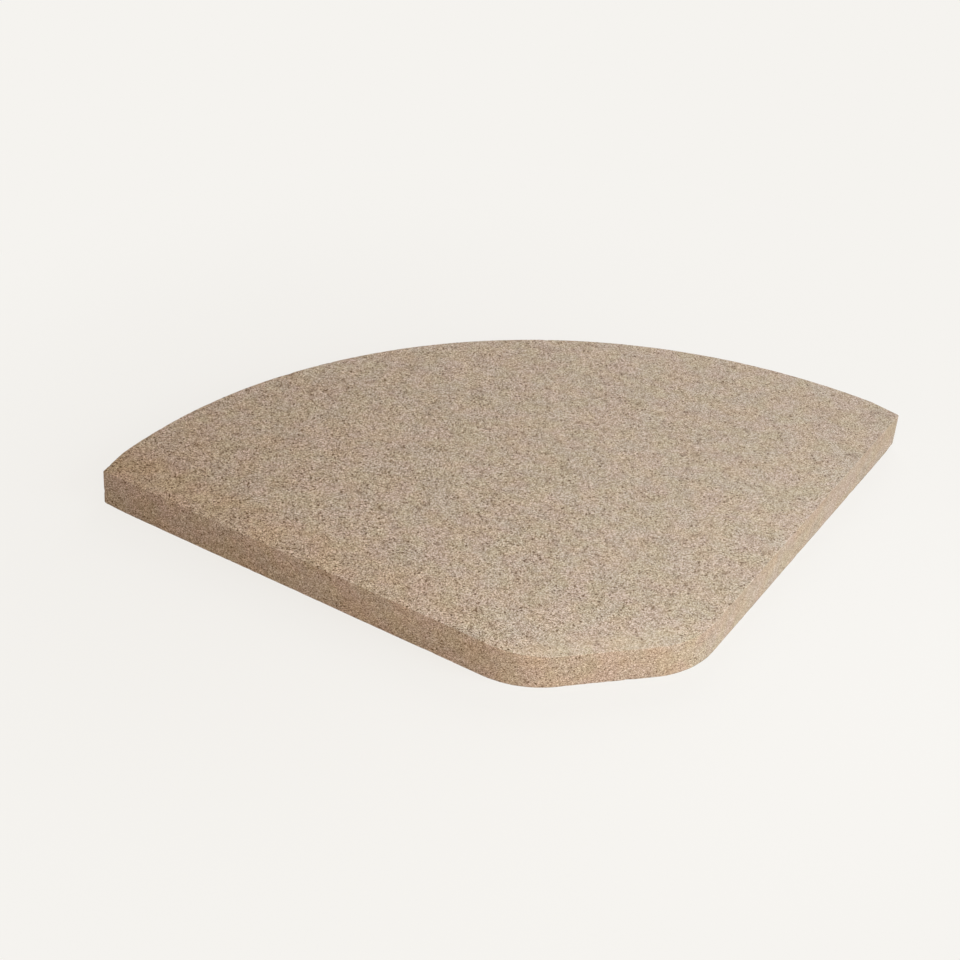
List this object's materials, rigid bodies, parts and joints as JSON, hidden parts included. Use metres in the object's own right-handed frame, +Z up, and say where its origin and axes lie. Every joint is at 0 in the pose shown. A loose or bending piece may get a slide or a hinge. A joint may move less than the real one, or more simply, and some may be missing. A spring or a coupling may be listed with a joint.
{
  "type": "vermiculite stove baffle",
  "caption": "Flat fan-shaped plate of pressed vermiculite board with a blunt rounded nose and a wide curved edge, laid above a stove's fire to turn back the hot gases.",
  "frame": {"origin": "on the underside, at the centre of the plate's outline box", "axes": "+X from tip to tip, +Y from the blunt nose to the curved edge, +Z up through the thickness"},
  "size_m": [0.4294, 0.2752, 0.02],
  "materials": {
    "vermiculite": "matt, rough pressed mineral board with flakes and small pits"
  },
  "bodies": {
    "root": {"baffle_plate": "vermiculite"}
  },
  "joints": []
}
